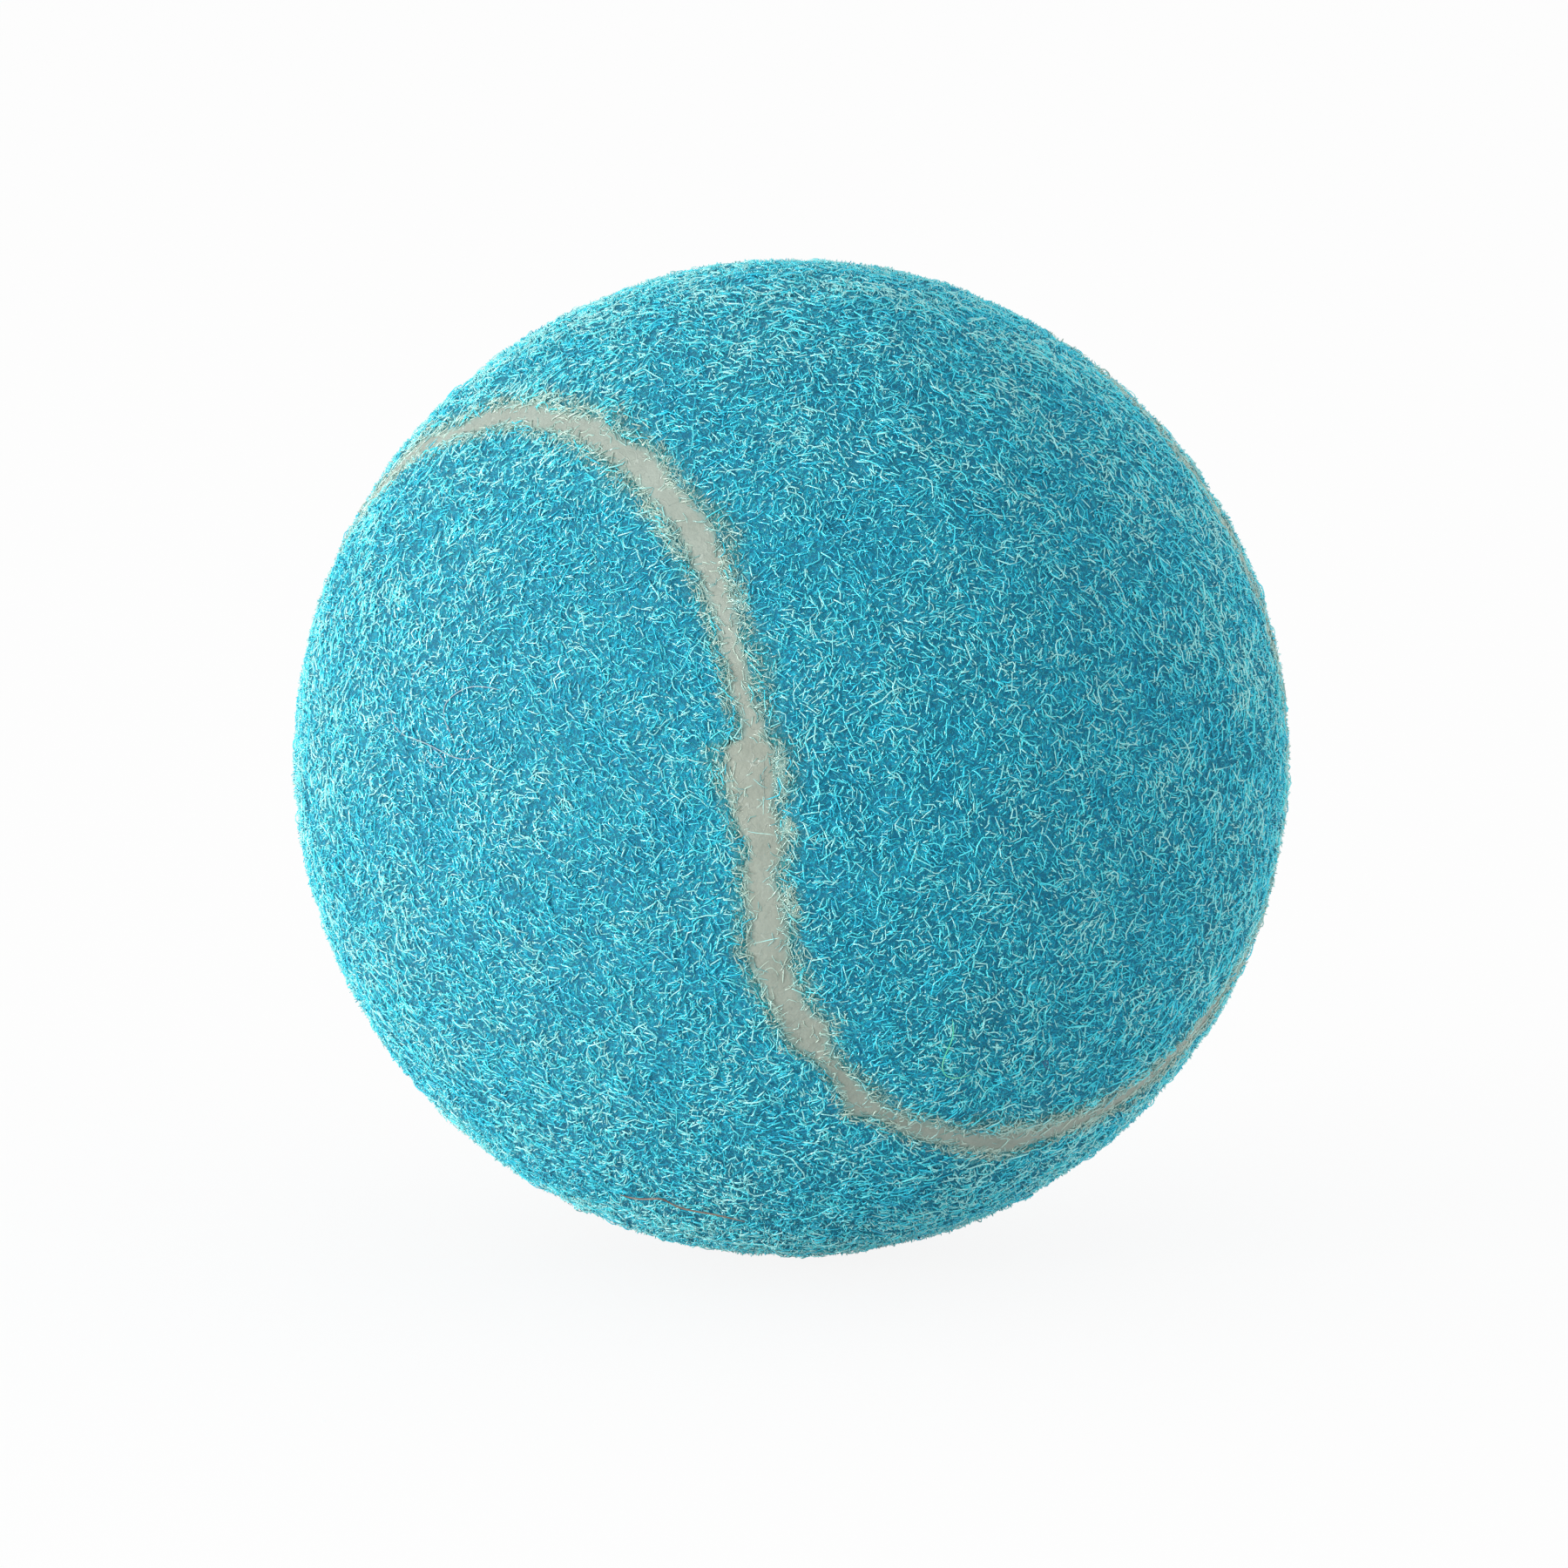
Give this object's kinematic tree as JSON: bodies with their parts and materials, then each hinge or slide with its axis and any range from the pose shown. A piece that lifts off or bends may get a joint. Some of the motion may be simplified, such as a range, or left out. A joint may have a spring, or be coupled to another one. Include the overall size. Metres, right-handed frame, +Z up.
{
  "type": "tennis ball",
  "caption": "Hollow rubber ball with a napped felt cover whose two interlocking panels meet at a curved, recessed rubber seam.",
  "frame": {"origin": "centre of the ball", "axes": "+Z up through the core's axis, square to the joint between its halves; -Y towards the viewer of the picture; the cover lies turned against these axes as pictured"},
  "size_m": [0.067, 0.067, 0.067],
  "materials": {
    "core_rubber": "matte",
    "cement": "satin",
    "back_coat": "matte",
    "felt": "matte",
    "seam_rubber": "matte"
  },
  "bodies": {
    "root": {"core_half_a": "core_rubber", "core_half_b": "core_rubber", "core_joint_cement": "cement", "core_cement_coat": "cement", "panel_back_coat_a": "back_coat", "panel_back_coat_b": "back_coat", "felt_panel_a": "felt", "felt_panel_b": "felt", "seam_rubber": "seam_rubber"}
  },
  "joints": []
}
